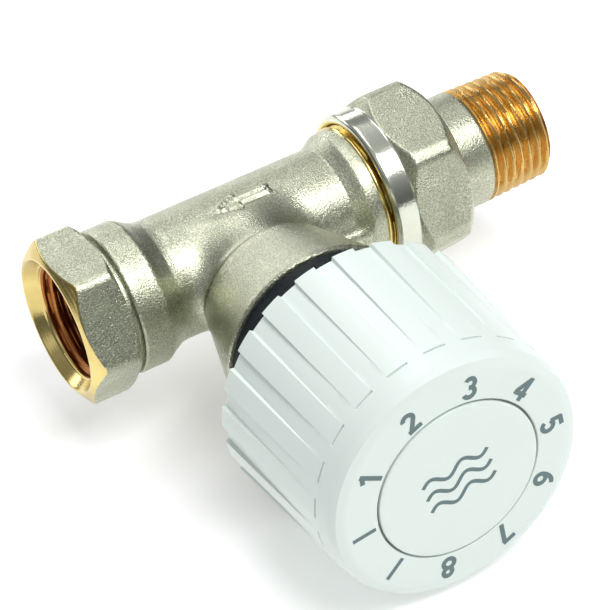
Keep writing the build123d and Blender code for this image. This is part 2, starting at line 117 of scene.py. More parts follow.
# ---------------------------------------------------------------- mesh tools
def smooth_min(a, b, blend):
    """Smaller of two fields, with the crease rounded over a distance."""
    overlap = np.maximum(blend - np.abs(a - b), 0) / blend
    return np.minimum(a, b) - overlap * overlap * blend / 4


def smooth_step(low, high, value):
    """Soft ramp from 0 at low to 1 at high."""
    share = np.clip((value - low) / (high - low), 0, 1)
    return share * share * (3 - 2 * share)


def outline(corners, step=1.0, closed=True):
    """Profile points (along, radius) from corners (along, radius, rounding), finely divided."""
    count = len(corners)
    points = []
    for index, corner in enumerate(corners):
        here = np.array(corner[:2], float)
        rounding = corner[2] if len(corner) > 2 else 0
        if not closed and index in (0, count - 1) or not rounding:
            points.append(here)
            continue
        before = np.array(corners[index - 1][:2], float) - here
        after = np.array(corners[(index + 1) % count][:2], float) - here
        reach = min(rounding, 0.45 * np.linalg.norm(before), 0.45 * np.linalg.norm(after))
        start = here + before / np.linalg.norm(before) * reach
        end = here + after / np.linalg.norm(after) * reach
        for share in np.linspace(0, 1, 5):
            points.append(start * (1 - share) ** 2 + here * 2 * share * (1 - share) + end * share**2)
    if closed:
        points.append(points[0])
    fine = []
    for start, end in zip(points[:-1], points[1:]):
        pieces = max(1, math.ceil(np.linalg.norm(end - start) / step))
        for share in range(pieces):
            fine.append(start + (end - start) * share / pieces)
    if not closed:
        fine.append(points[-1])
    return np.array(fine)


def on_pipe(along, radius, angle):
    """Row-frame point from a place on the pipe axis; angle 0 faces the dial side, 90 degrees is up."""
    return np.stack([along, -radius * np.cos(angle), radius * np.sin(angle)], axis=-1)


def on_knob(height, radius, angle):
    """Row-frame point round the knob axis; angle 0 is towards the outlet, 90 degrees is up."""
    return np.stack([KNOB_X + radius * np.cos(angle), -height, radius * np.sin(angle)], axis=-1)


def make_object(name, vertices, faces, materials, slots=None, sharp=35):
    """Mesh object from millimetre points, with outward normals and smooth shading."""
    corners = np.asarray(vertices, float)
    mesh = bpy.data.meshes.new(name)
    mesh.from_pydata((corners * MM).tolist(), [], [list(face) for face in faces])
    mesh.validate()
    thing = bpy.data.objects.new(name, mesh)
    bpy.context.scene.collection.objects.link(thing)
    for one in materials:
        mesh.materials.append(one)
    if slots is not None and len(slots) == len(mesh.polygons):
        mesh.polygons.foreach_set("material_index", np.asarray(slots, np.int32))
    if signed_volume(mesh) < 0:
        mesh.flip_normals()
    finish_shading(mesh, sharp)
    return thing


def signed_volume(mesh):
    """Six times the volume; negative when the faces point inwards."""
    mesh.calc_loop_triangles()
    points = np.empty(len(mesh.vertices) * 3)
    mesh.vertices.foreach_get("co", points)
    points = points.reshape(-1, 3)
    triangles = np.empty(len(mesh.loop_triangles) * 3, np.int32)
    mesh.loop_triangles.foreach_get("vertices", triangles)
    a, b, c = (points[triangles.reshape(-1, 3)[:, side]] for side in range(3))
    return float(np.einsum("ij,ij->i", a, np.cross(b, c)).sum())


def finish_shading(mesh, sharp):
    """Smooth shading, with edges over the sharp angle kept crisp."""
    mesh.polygons.foreach_set("use_smooth", np.ones(len(mesh.polygons), bool))
    mesh.set_sharp_from_angle(angle=math.radians(sharp))
    mesh.update()


def turned(name, place, profile, angles, materials, shape=None, slot=None, closed=True, sharp=35):
    """Turned piece from a profile. shape(along, radius, angle) may change the radius, and
    slot(along, radius, angle, profile_radius) gives the material of each face."""
    along, angle = np.meshgrid(profile[:, 0], angles, indexing="ij")
    plain = np.repeat(profile[:, 1][:, None], len(angles), axis=1)
    radius = plain if shape is None else shape(along, plain, angle)
    points = place(along, radius, angle)
    rows, columns = along.shape
    vertices = points.reshape(-1, 3)
    last = rows if closed else rows - 1
    upper = np.arange(last)
    lower = (upper + 1) % rows
    left = np.arange(columns)
    right = (left + 1) % columns

    def grid(row, column):
        return row[:, None] * columns + column[None, :]

    quads = np.stack([grid(upper, left), grid(upper, right), grid(lower, right), grid(lower, left)], axis=-1)
    faces = quads.reshape(-1, 4)
    slots = None
    if slot is not None:
        slots = slot(along, radius, angle, plain)[:last].astype(int).reshape(-1)
    if not closed:
        centre = [points[0].mean(axis=0), points[-1].mean(axis=0)]
        vertices = np.concatenate([vertices, centre])
        first = np.stack([right, left, np.full(columns, rows * columns)], axis=-1)
        final = np.stack([left, right, np.full(columns, rows * columns + 1)], axis=-1)
        final[:, :2] += (rows - 1) * columns
        faces = faces.tolist() + first.tolist() + final.tolist()
        if slots is not None:
            slots = np.concatenate([slots, np.full(columns, slots[0]), np.full(columns, slots[-1])])
    else:
        faces = faces.tolist()
    return make_object(name, vertices, faces, materials, slots, sharp)


def around(count):
    """Evenly spaced angles of a full turn."""
    return np.linspace(0, 2 * math.pi, count, endpoint=False)


def hexagon_radius(angle, across_flats, corner_degrees):
    """Radius of a hexagon at each angle, with one corner at the given angle."""
    from_flat = np.mod(angle - math.radians(corner_degrees), math.pi / 3) - math.pi / 6
    return across_flats / 2 / np.cos(from_flat)


def thread_form(along, angle):
    """Right-hand Whitworth form round the pipe: 1 on the crest, 0 in the root."""
    phase = np.mod(along / THREAD_PITCH + angle / (2 * math.pi), 1)
    ramp = 1 - np.abs(2 * phase - 1)
    return smooth_step(0.08, 0.92, ramp)


def cut(thing, cutters, operation="DIFFERENCE"):
    """Boolean with each cutter in turn; the cutters are removed."""
    for cutter in cutters:
        step = thing.modifiers.new("cut", "BOOLEAN")
        step.operation = operation
        step.solver = "MANIFOLD"
        step.object = cutter
        apply_modifiers(thing)
        bpy.data.objects.remove(cutter)


def apply_modifiers(thing):
    """Swap the mesh for its evaluated copy."""
    graph = bpy.context.evaluated_depsgraph_get()
    old = thing.data
    thing.data = bpy.data.meshes.new_from_object(thing.evaluated_get(graph))
    thing.modifiers.clear()
    bpy.data.meshes.remove(old)
    thing.data.name = thing.name


# ---------------------------------------------------------------- materials
def finish_material(name, color, metallic, roughness, tint=None, tint_size=6.0, tint_share=0.5,
                    grain_size=0.3, grain_bump=0.0, grain_tint=0.0, rings=None, ring_size=0.5,
                    ring_bump=0.0, coat=0.0, spread=0.12, hollow_shade=None, specular=0.5, glow=0.0):
    """Procedural finish: broad tint, fine grain, roughness variation, optional turning marks and optional painted
    shade that darkens the hollows.
    Sizes are in millimetres; rings is the axis the turning marks step along."""
    made = bpy.data.materials.new(name)
    made.use_nodes = True
    tree = made.node_tree
    tree.nodes.clear()
    out = tree.nodes.new("ShaderNodeOutputMaterial")
    shader = tree.nodes.new("ShaderNodeBsdfPrincipled")
    tree.links.new(shader.outputs[0], out.inputs[0])
    place = tree.nodes.new("ShaderNodeTexCoord")

    def noise(size, detail):
        made_noise = tree.nodes.new("ShaderNodeTexNoise")
        made_noise.inputs["Scale"].default_value = 1 / (size * MM)
        made_noise.inputs["Detail"].default_value = detail
        tree.links.new(place.outputs["Object"], made_noise.inputs["Vector"])
        return made_noise.outputs["Fac"]

    def ranged(source, low, high, out_low, out_high):
        step = tree.nodes.new("ShaderNodeMapRange")
        for key, value in (("From Min", low), ("From Max", high), ("To Min", out_low), ("To Max", out_high)):
            step.inputs[key].default_value = value
        tree.links.new(source, step.inputs["Value"])
        return step.outputs["Result"]

    def mixed(share, first, second, mode="MIX"):
        step = tree.nodes.new("ShaderNodeMix")
        step.data_type = "RGBA"
        step.blend_type = mode
        tree.links.new(share, step.inputs[0])
        for socket, value in ((step.inputs[6], first), (step.inputs[7], second)):
            if isinstance(value, tuple):
                socket.default_value = (*value, 1)
            else:
                tree.links.new(value, socket)
        return step.outputs[2]

    broad = noise(tint_size, 3)
    fine = noise(grain_size, 2)
    second = tint or tuple(part * 0.86 for part in color)
    shade = mixed(ranged(broad, 0.35, 0.65, 0, tint_share), color, second)
    if grain_tint:
        dark = tuple(part * (1 - grain_tint) for part in color)
        shade = mixed(ranged(fine, 0.42, 0.62, 0.55, 0), shade, dark)
    # Painted shade: concave places, found by low pointiness, are blended towards the given dark colour.
    if hollow_shade:
        geometry = tree.nodes.new("ShaderNodeNewGeometry")
        hollow = ranged(geometry.outputs["Pointiness"], 0.37, 0.47, 0.75, 0)
        shade = mixed(hollow, shade, hollow_shade)
    tree.links.new(shade, shader.inputs["Base Color"])
    tree.links.new(ranged(broad, 0.3, 0.7, roughness * (1 - spread), roughness * (1 + spread)),
                   shader.inputs["Roughness"])
    shader.inputs["Metallic"].default_value = metallic
    shader.inputs["Specular IOR Level"].default_value = specular
    shader.inputs["Emission Color"].default_value = (1, 1, 1, 1)
    shader.inputs["Emission Strength"].default_value = glow
    shader.inputs["Coat Weight"].default_value = coat
    shader.inputs["Coat Roughness"].default_value = 0.12
    normal = None
    if grain_bump:
        bump = tree.nodes.new("ShaderNodeBump")
        bump.inputs["Strength"].default_value = grain_bump
        bump.inputs["Distance"].default_value = grain_size * MM * 0.35
        tree.links.new(fine, bump.inputs["Height"])
        normal = bump.outputs["Normal"]
    if rings:
        wave = tree.nodes.new("ShaderNodeTexWave")
        wave.wave_type = "BANDS"
        wave.bands_direction = rings
        wave.inputs["Scale"].default_value = 0.314 / (ring_size * MM)
        wave.inputs["Distortion"].default_value = 1.2
        wave.inputs["Detail"].default_value = 2
        tree.links.new(place.outputs["Object"], wave.inputs["Vector"])
        bump = tree.nodes.new("ShaderNodeBump")
        bump.inputs["Strength"].default_value = ring_bump
        bump.inputs["Distance"].default_value = ring_size * MM * 0.25
        tree.links.new(wave.outputs["Fac"], bump.inputs["Height"])
        if normal:
            tree.links.new(normal, bump.inputs["Normal"])
        normal = bump.outputs["Normal"]
    if normal:
        tree.links.new(normal, shader.inputs["Normal"])
    return made


# Painted shade: the hollows of the blasted nickel are darkened towards the dark colour given last.
BLASTED = finish_material("nickel_blasted", (0.62, 0.635, 0.485), 1.0, 0.31, tint=(0.45, 0.465, 0.345),
                          grain_size=0.26, grain_bump=1.0, grain_tint=0.75, spread=0.2,
                          hollow_shade=(0.20, 0.21, 0.15))
TURNED_NICKEL = finish_material("nickel_turned", (0.66, 0.68, 0.58), 1.0, 0.18, tint=(0.54, 0.55, 0.45),
                                grain_size=0.5, grain_bump=0.10, rings="X", ring_size=0.35, ring_bump=0.06)
GOLD_BRASS = finish_material("brass_turned", (0.74, 0.60, 0.24), 1.0, 0.20, tint=(0.46, 0.33, 0.10),
                             grain_size=0.4, grain_bump=0.08, rings="X", ring_size=0.45, ring_bump=0.05)
# Painted shade: the inner thread is a darker, redder copy of the turned brass, standing for the shade deep in the
# bore; its hollows are darkened further.
SHADED_BORE_BRASS = finish_material("brass_inner_thread_shaded", (0.46, 0.18, 0.05), 1.0, 0.30, tint=(0.30, 0.10, 0.03),
                         grain_size=0.35, grain_bump=0.25, grain_tint=0.3, hollow_shade=(0.08, 0.025, 0.01))
# Painted shade: the hollows of the outer thread are darkened towards the dark colour given last.
THREAD_BRASS = finish_material("brass_outer_thread", (0.76, 0.50, 0.18), 1.0, 0.27, tint=(0.58, 0.34, 0.10),
                               grain_size=0.35, grain_bump=0.3, grain_tint=0.35, hollow_shade=(0.12, 0.05, 0.012))
PLAIN_BRASS = finish_material("brass_plain", (0.74, 0.55, 0.25), 1.0, 0.28, grain_size=0.4, grain_bump=0.2)
STEEL = finish_material("steel_ground", (0.58, 0.58, 0.57), 1.0, 0.25, grain_size=0.3, grain_bump=0.15)
COPPER = finish_material("copper_drawn", (0.72, 0.42, 0.28), 1.0, 0.30, grain_size=0.5, grain_bump=0.15)
WHITE = finish_material("plastic_white", (0.70, 0.775, 0.735), 0.0, 0.36, tint=(0.685, 0.76, 0.72),
                        tint_size=12, grain_size=0.25, grain_bump=0.10, coat=0.10)
BLACK = finish_material("plastic_black", (0.006, 0.009, 0.012), 0.0, 0.42, tint=(0.014, 0.019, 0.024),
                        tint_size=0.8, grain_size=0.3, grain_bump=0.35, specular=0.22)
GREY = finish_material("plastic_grey", (0.45, 0.46, 0.46), 0.0, 0.45, grain_size=0.3, grain_bump=0.2)
RUBBER = finish_material("rubber_black", (0.02, 0.02, 0.02), 0.0, 0.6, grain_size=0.2, grain_bump=0.3)
INK = finish_material("print_grey", (0.115, 0.175, 0.175), 0.0, 0.5, tint=(0.14, 0.20, 0.20),
                      tint_size=1.0, grain_size=0.15, grain_bump=0.1, specular=0.3)


# ---------------------------------------------------------------- body casting
def pipe_radius(along):
    """Outside of the cast pipe: collar, cone, tube and the step before the union thread."""
    stations = [7.0, 13.2, 13.7, 14.7, 16.8, 18.0, 51.6, 52.8, 54.2, 55.6, 57.4]
    radii = [COLLAR_R, COLLAR_R, 12.95, 12.3, 11.25, TUBE_R, TUBE_R, 11.75, 12.65, 12.85, 12.85]
    return np.interp(along, stations, radii)


def boss_radius(height):
    """Outside of the trumpet that carries the head, with its rounded step."""
    stations = [-20, 5.0, 11.0, 12.0, 12.7, 13.4, 14.2, 15.4, 29.4, 40]
    radii = [9.6, 10.7, 11.3, 11.6, 12.15, 12.85, 13.3, 13.6, BOSS_R - 0.02, BOSS_R + 0.9]
    return np.interp(height, stations, radii)


def capsule_2d(u, v, start, end, radius):
    """Distance in a plane to a rounded stroke."""
    direction = np.subtract(end, start)
    share = ((u - start[0]) * direction[0] + (v - start[1]) * direction[1]) / np.dot(direction, direction)
    share = np.clip(share, 0, 1)
    return np.hypot(u - start[0] - share * direction[0], v - start[1] - share * direction[1]) - radius


def flow_arrow(points):
    """Height of the raised outline arrow that shows the flow direction, on the upper front."""
    angle = np.degrees(np.arctan2(points[:, 2], -points[:, 1]))
    u = points[:, 0]
    v = (angle - 81.0) * math.pi / 180 * TUBE_R
    tip, neck, tail_end = 29.2, 33.4, 39.6
    head, shaft = 1.9, 0.75
    corners = [(tip, 0.0), (neck, head), (neck, shaft), (tail_end, shaft), (tail_end, -shaft), (neck, -shaft),
               (neck, -head)]
    distance = np.full(len(u), 99.0)
    for start, end in zip(corners, corners[1:] + corners[:1]):
        distance = np.minimum(distance, capsule_2d(u, v, start, end, 0.2))
    return 0.34 * (1 - smooth_step(0.0, 0.35, distance)) * (points[:, 1] < 4)


def casting_distance(points):
    """Signed distance, in millimetres, to the outside of the casting."""
    x, y, z = points.T
    round_pipe = np.hypot(y, z)
    pipe = (round_pipe - pipe_radius(x)) * 0.9
    pipe = -smooth_min(-pipe, -(COLLAR_START - x), 0.6)
    pipe = -smooth_min(-pipe, -(x - CASTING_END), 0.5)
    height = -y
    boss = (np.hypot(x - KNOB_X, z) - boss_radius(height)) * 0.92
    boss = -smooth_min(-boss, -(height - BOSS_TOP), 0.5)
    boss = -smooth_min(-boss, -(5.0 - height), 1.0)
    foot = capsule_2d(x, height, (47.0, 10.4), (52.4, 10.5), 1.4)
    foot = -smooth_min(-foot, -(np.abs(z + 3.2) - 4.4), 1.0)
    both = smooth_min(pipe, boss, 3.6)
    both = smooth_min(both, foot, 2.0)
    return both - flow_arrow(points)


def plug(name, place, corners, angles, step):
    """Solid of revolution that fills the space from the axis to the corners (along, radius)."""
    ends = [(corners[0][0], AXIS_R), *corners, (corners[-1][0], AXIS_R)]
    return turned(name, place, outline(ends, step, closed=False), angles, [], closed=False)


def bore(name, low, high, radius, place=on_pipe):
    """Plain round cutter."""
    return plug(name, place, [(low, radius), (high, radius)], around(64), 4)


def waterways():
    """Cutters of the body: thread sockets, inflow under the seat, outflow over it, and the bonnet's well."""
    under = bore("under", 19, 38.5, 4.2)
    under.data.transform(Matrix.Translation((0, 3.6 * MM, 0)))
    over = bore("over", 36, 46, 4.0)
    over.data.transform(Matrix.Translation((0, -4.2 * MM, 0)))
    well = plug("well", on_knob, [(1, BONNET_STEP_R), (14, BONNET_STEP_R), (14, BONNET_R),
                (RECESS_FLOOR, BONNET_R), (RECESS_FLOOR, RECESS_R), (36, RECESS_R)], around(128), 4)
    return [bore("socket", 7, 12.85, SOCKET_R), bore("inflow", 10, 21.6, WATER_R), under,
            bore("seat", -4, 3, 5, on_knob), well, over, bore("outflow", 42, 60, WATER_R),
            bore("spigot", 54.9, 60, SPIGOT_R)]


def casting():
    """Cast middle of the body, with real fillets where the trumpet leaves the pipe."""
    ring = around(96)
    pipe = plug("casting", on_pipe, [(COLLAR_START, 13), (13, 13), (18, 11), (52, 11), (55, 12.3),
                (57.3, 12.5)], ring, 0.8)
    boss = plug("boss", on_knob, [(5, 10.6), (12, 11.6), (15.4, 13.6), (30, 17.7)], ring, 0.8)
    foot = plug("foot", on_pipe, [(46, 2.6), (53.6, 2.6)], ring, 0.8)
    foot.data.transform(Matrix.Translation((0, -9.0 * MM, -3.2 * MM)))
    cut(pipe, [boss, foot], "UNION")
    remesh = pipe.modifiers.new("even", "REMESH")
    remesh.mode = "VOXEL"
    remesh.voxel_size = CASTING_VOXEL * MM
    apply_modifiers(pipe)
    mesh = pipe.data
    points = np.empty(len(mesh.vertices) * 3)
    mesh.vertices.foreach_get("co", points)
    points = points.reshape(-1, 3) / MM
    for _ in range(9):
        distance = casting_distance(points)
        gradient = np.empty_like(points)
        for axis in range(3):
            step = np.zeros(3)
            step[axis] = 0.02
            gradient[:, axis] = (casting_distance(points + step) - casting_distance(points - step)) / 0.04
        length = np.maximum((gradient**2).sum(axis=1), 0.3)
        points -= 0.9 * (np.clip(distance, -1.0, 1.0) / length)[:, None] * gradient
    mesh.vertices.foreach_set("co", (points * MM).reshape(-1))
    mesh.update()
    cut(pipe, waterways())
    mesh = pipe.data
    mesh.materials.clear()
    mesh.materials.append(BLASTED)
    mesh.materials.append(PLAIN_BRASS)
    finish_shading(mesh, 40)
    return pipe


# ---------------------------------------------------------------- inlet, union end, nut, tailpiece
def inlet_end():
    """Hexagon, machined bevel and lead-in, and the real internal thread."""
    profile = outline([
        (INLET_FACE, 12.75, 0.12), (-0.75, INLET_CORNER_R, 0.3), (5.7, INLET_CORNER_R, 0.3),
        (HEX_END, 14.2, 0.3), (HEX_END, 11.95, 0.15), (8.6, 11.95), (8.6, 11.8), (12.9, 11.8),
        (12.9, WATER_R), (12.6, WATER_R, 0.2), (11.1, 10.4), (0.3, 10.4), (0.0, PIPE_ROOT_R),
        (INLET_FACE + 0.15, 12.15, 0.12), (INLET_FACE, 12.3, 0.12)], 0.2)

    def shape(along, radius, angle):
        outside = smooth_min(radius, hexagon_radius(angle, INLET_AF, -2.0), 0.35)
        inner = (along > -0.4) & (along < 11.6) & (radius > 10.0) & (radius < 11.0)
        fade = smooth_step(-0.3, 0.9, along) * (1 - smooth_step(9.9, 11.0, along))
        crest = PIPE_ROOT_R - THREAD_DEPTH * thread_form(along, angle) * fade
        return np.where(inner, np.minimum(crest, radius), outside)

    def slot(along, radius, angle, plain):
        cone = (along < -0.7) & (plain - radius < 0.12) & (plain > 12)
        lead = (along < 0.25) & (plain <= 12.31)
        # The thread faces take the darker brass that carries the painted shade of the bore.
        thread = (along > 0.0) & (along < 13) & (plain < 10.6)
        return np.where(thread, 2, np.where(cone | lead, 1, 0))

    return turned("inlet_end", on_pipe, profile, around(360), [BLASTED, GOLD_BRASS, SHADED_BORE_BRASS], shape, slot,
                  sharp=50)


def union_end():
    """Threaded spigot of the body with the seat of the tailpiece."""
    profile = outline([
        (55.0, 11.5), (55.4, 11.5), (UNION_THREAD_X - 0.3, 12.3, 0.1), (UNION_THREAD_X + 0.5, UNION_CREST_R),
        (SEAT_FACE - 0.9, UNION_CREST_R), (SEAT_FACE - 0.1, 12.4, 0.2), (SEAT_FACE, 9.1, 0.15), (59.0, 9.0),
        (59.0, WATER_R), (55.0, WATER_R)], 0.2)

    def shape(along, radius, angle):
        outer = (radius > 12.6) & (along > UNION_THREAD_X)
        fade = smooth_step(UNION_THREAD_X + 0.6, UNION_THREAD_X + 1.6, along)
        return np.where(outer, radius - THREAD_DEPTH * (1 - thread_form(along, angle)) * fade, radius)

    return turned("union_end", on_pipe, profile, around(240), [GOLD_BRASS], shape, sharp=50)


def union_nut():
    """Polished round mouth and blasted hexagon."""
    profile = outline([
        (NUT_MOUTH, 14.3, 0.4), (NUT_MOUTH + 0.5, NUT_ROUND_R, 0.6), (NUT_HEX_X, NUT_ROUND_R, 0.2),
        (NUT_HEX_X + 1.7, NUT_CORNER_R, 0.5), (NUT_BACK - 2.1, NUT_CORNER_R, 0.5), (NUT_BACK, 14.7, 0.5),
        (NUT_BACK, 10.75, 0.2), (NUT_THREAD_END, 10.75), (NUT_THREAD_END, NUT_THREAD_R),
        (NUT_MOUTH + 0.5, NUT_THREAD_R), (NUT_MOUTH, 13.5, 0.3)], 0.25)

    def shape(along, radius, angle):
        return smooth_min(radius, hexagon_radius(angle, NUT_AF, NUT_TURN), 0.3)

    def slot(along, radius, angle, plain):
        bright = (along < NUT_HEX_X + 0.1) & (plain > 13.9)
        inside = (plain < 13.9) & (along < NUT_BACK - 0.2)
        return np.where(bright, 1, np.where(inside, 2, 0))

    finishes = [BLASTED, TURNED_NICKEL, GOLD_BRASS]
    return turned("union_nut_form", on_pipe, profile, around(360), finishes, shape, slot, sharp=50)


def tailpiece():
    """Nickelled tube with the bare brass taper thread."""
    profile = outline([
        (59.5, 6.7, 0.1), (59.5, 8.85, 0.3), (60.4, 8.9), (60.4, 7.65), (61.8, 7.65), (61.8, 8.9),
        (SEAT_FACE, 8.9), (SEAT_FACE, 12.65, 0.2), (67.2, 12.65, 0.2), (67.2, 10.6), (79.9, 10.6, 0.25),
        (80.5, 10.2), (81.0, 10.55), (OUTLET_TIP - 0.3, 10.25, 0.2), (OUTLET_TIP, 9.4, 0.2), (OUTLET_TIP, 7.6, 0.3),
        (OUTLET_TIP - 0.9, 6.6, 0.2)], 0.22)

    def shape(along, radius, angle):
        outer = (along > 80.6) & (radius > 9.3)
        crest = 10.48 - (along - 84.6) / 32
        fade = 1 - smooth_step(OUTLET_TIP - 0.9, OUTLET_TIP, along) * 0.55
        crest = crest - (1 - fade) * 1.2
        deep = THREAD_DEPTH * smooth_step(80.6, 81.4, along)
        wave = crest - deep * (1 - thread_form(along, angle))
        return np.where(outer, np.minimum(np.maximum(wave, 8.8), 10.6), radius)

    def slot(along, radius, angle, plain):
        brass = (along > 80.3) | (plain < 8)
        return np.where(brass, 1, 0)

    finishes = [BLASTED, THREAD_BRASS]
    return turned("tailpiece_form", on_pipe, profile, around(200), finishes, shape, slot, sharp=50)


# ---------------------------------------------------------------- head
def flute_angles():
    """Column angles that put sharp, slightly rounded steps on both sides of each rib."""
    period = 2 * math.pi / FLUTES
    half = (1 - RIB_SHARE) / 2
    step = 0.014
    valley = [-half, -half + step, -half / 2, 0, half / 2, half - step, half]
    rib = [half + step, half + 0.03, 0.36, 0.5, 0.64, 1 - half - 0.03, 1 - half - step]
    shares = np.array(valley + rib)
    columns = np.concatenate([(index + shares) * period for index in range(FLUTES)])
    return columns + math.radians(FLUTE_TURN)


def handwheel():
    """White knob: fluted skirt, smooth front band and dial."""
    profile = outline([
        (KNOB_BACK, KNOB_BACK_R, 0.35), (FLUTE_FRONT, KNOB_FRONT_R), (KNOB_FACE - 2.4, 22.98),
        (KNOB_FACE - 1.9, 22.93), (KNOB_FACE - 0.62, 22.35), (KNOB_FACE, 21.0), (KNOB_FACE, 20.6),
        (KNOB_FACE, 15.1, 0.2), (70.85, 14.95, 0.1), (70.85, 11.0), (KNOB_WALL_TOP, 11.0),
        (KNOB_WALL_TOP, HUB_BORE_R), (50.2, HUB_BORE_R), (50.2, HUB_R), (KNOB_WALL_TOP, HUB_R),
        (KNOB_WALL_TOP, 21.3, 1.5), (43.15, KNOB_BORE_R), (43.15, 16.95), (41.65, 16.95),
        (41.65, KNOB_BORE_R), (KNOB_BACK, 21.5, 0.3)], 0.9)
    slope = (KNOB_FRONT_R - KNOB_BACK_R) / (FLUTE_FRONT - KNOB_BACK)
    near_front = np.array([-0.6, -0.3, -0.2, -0.14, 0.14, 0.2, 0.3, 0.6])
    extra = np.stack([FLUTE_FRONT + near_front, KNOB_FRONT_R + np.minimum(near_front, 0) * slope], axis=-1)
    near = (np.abs(profile[:, 0] - FLUTE_FRONT) < 0.7) & (profile[:, 1] > 22.4)
    start = int(np.argmax(near))
    profile = np.concatenate([profile[:start], extra, profile[start:][~near[start:]]])

    def shape(height, radius, angle):
        period = 2 * math.pi / FLUTES
        across = np.abs(np.mod((angle - math.radians(FLUTE_TURN)) / period + 0.5, 1) - 0.5)
        half_valley = (1 - RIB_SHARE) / 2
        in_valley = 1 - smooth_step(half_valley - 0.012, half_valley + 0.012, across)
        outside = (radius > 21.6) & (height < 70)
        on_back = np.where(height < KNOB_BACK + 0.01, (radius - 21.6) / (KNOB_BACK_R - 21.6), 1)
        ramp = np.clip((FLUTE_FRONT - height) / (FLUTE_FRONT - KNOB_BACK), 0, 1)
        depth = FLUTE_DEPTH * ramp * in_valley * on_back
        in_slot = 1 - smooth_step(0.14, 0.21, np.abs(height - FLUTE_FRONT))
        depth = depth + SLOT_DEPTH * in_slot * (1 - in_valley)
        return np.where(outside, radius - depth, radius)

    return turned("handwheel_form", on_knob, profile, flute_angles(), [WHITE], shape, sharp=28)


def cap_disc():
    """Snap-in disc, flush in the dial behind a fine gap."""
    profile = outline([(70.9, AXIS_R), (70.9, 14.55, 0.1), (DISC_TOP - 0.1, DISC_R, 0.35),
                       (DISC_TOP, 14.3, 0.3), (DISC_TOP, AXIS_R)], 0.7, closed=False)
    return turned("cap_disc_form", on_knob, profile, around(144), [WHITE], closed=False)


def flat_print(name, strokes, height, thickness=0.05):
    """Printed strokes on the dial: each stroke is a ribbon (points, width) in dial coordinates."""
    vertices, faces = [], []
    for points, width in strokes:
        points = np.array(points, float)
        along = np.gradient(points, axis=0)
        along /= np.linalg.norm(along, axis=1)[:, None]
        side = np.stack([-along[:, 1], along[:, 0]], axis=-1) * width / 2
        first = len(vertices)
        for level in (height - 0.03, height + thickness):
            for edge in (points + side, points - side):
                vertices += [(KNOB_X + u, -level, v) for u, v in edge]
        count = len(points)

        def row(level, edge, index):
            return first + (2 * level + edge) * count + index

        for index in range(count - 1):
            after = index + 1
            faces.append((row(1, 0, index), row(1, 1, index), row(1, 1, after), row(1, 0, after)))
            faces.append((row(0, 1, index), row(0, 0, index), row(0, 0, after), row(0, 1, after)))
            faces.append((row(0, 0, index), row(1, 0, index), row(1, 0, after), row(0, 0, after)))
            faces.append((row(1, 1, index), row(0, 1, index), row(0, 1, after), row(1, 1, after)))
        faces.append((row(0, 0, 0), row(0, 1, 0), row(1, 1, 0), row(1, 0, 0)))
        faces.append((row(0, 1, count - 1), row(0, 0, count - 1), row(1, 0, count - 1), row(1, 1, count - 1)))
    return make_object(name, vertices, faces, [INK], sharp=30)


def arc(centre, radii, start, end, count=25):
    """Points of an elliptic arc, angles in degrees."""
    angles = np.radians(np.linspace(start, end, count))
    return [(centre[0] + radii[0] * math.cos(t), centre[1] + radii[1] * math.sin(t)) for t in angles]


def digit_strokes(label):
    """Centre lines of a plain digit about 4.6 mm high, standing on the middle of its box."""
    loops = {
        "bar": [[(0, -2.15), (0, 2.15)]],
        "1": [[(0.35, -2.2), (0.35, 2.2)], [(-0.95, 1.0), (0.3, 1.75)]],
        "2": [arc((0, 0.9), (0.95, 0.9), 172, -28) + [(-0.75, -1.75)], [(-1.25, -1.78), (1.35, -1.78)]],
        "3": [arc((0, 0.92), (0.85, 0.88), 155, -100), arc((0, -0.85), (1.0, 0.95), 100, -155)],
        "4": [[(0.45, -2.2), (0.45, 2.2)], [(0.35, 1.9), (-1.1, -0.75)], [(-1.45, -0.95), (1.3, -0.95)]],
        "5": [[(-0.85, 1.78), (1.1, 1.78)], [(-0.62, 1.9), (-0.8, -0.05)],
              arc((0, -0.75), (1.0, 1.03), 142, -152)],
        "6": [arc((0, -0.8), (0.98, 1.0), -4, 184), arc((0, -0.8), (0.98, 1.0), 176, 364),
              arc((0.8, -0.8), (1.78, 2.6), 180, 94)],
        "7": [[(-1.2, 1.78), (1.25, 1.78)], [(1.0, 1.8), (-0.4, -2.2)]],
        "8": [arc((0, 0.95), (0.8, 0.83), -4, 184), arc((0, 0.95), (0.8, 0.83), 176, 364),
              arc((0, -0.85), (1.0, 0.95), -4, 184), arc((0, -0.85), (1.0, 0.95), 176, 364)],
    }
    return loops[label]


def dial_marks():
    """Printed numbers and the two frost marks round the dial."""
    made = []
    labels = ["bar", "bar", "1", "2", "3", "4", "5", "6", "7", "8"]
    for index, label in enumerate(labels):
        angle = math.radians(223.4 - 36 * index)
        out = np.array([math.cos(angle), math.sin(angle)])
        right = np.array([math.sin(angle), -math.cos(angle)])
        parts = []
        for points in digit_strokes(label):
            placed = [out * (MARK_R + v) + right * u for u, v in points]
            name = f"mark_{index}" if not parts else f"mark_{index}_{len(parts)}"
            parts.append(flat_print(name, [(placed, 0.72 if label == "bar" else 0.84)], KNOB_FACE))
        cut(parts[0], parts[1:], "UNION")
        made.append(parts[0])
    return made


def heat_symbol():
    """Three printed waves in the middle of the disc, a plain sign for heat."""
    half_length = 6.2
    spacing = 2.9
    tilt = math.radians(12)
    strokes = []
    for row in (-spacing, 0.0, spacing):
        u = np.linspace(-half_length, half_length, 49)
        v = row + 0.95 * np.sin(u * 2 * math.pi / half_length)
        points = [u * math.cos(tilt) - v * math.sin(tilt), u * math.sin(tilt) + v * math.cos(tilt)]
        strokes.append((np.stack(points, axis=-1), 0.75))
    return flat_print("heat_symbol", strokes, DISC_TOP, 0.008)


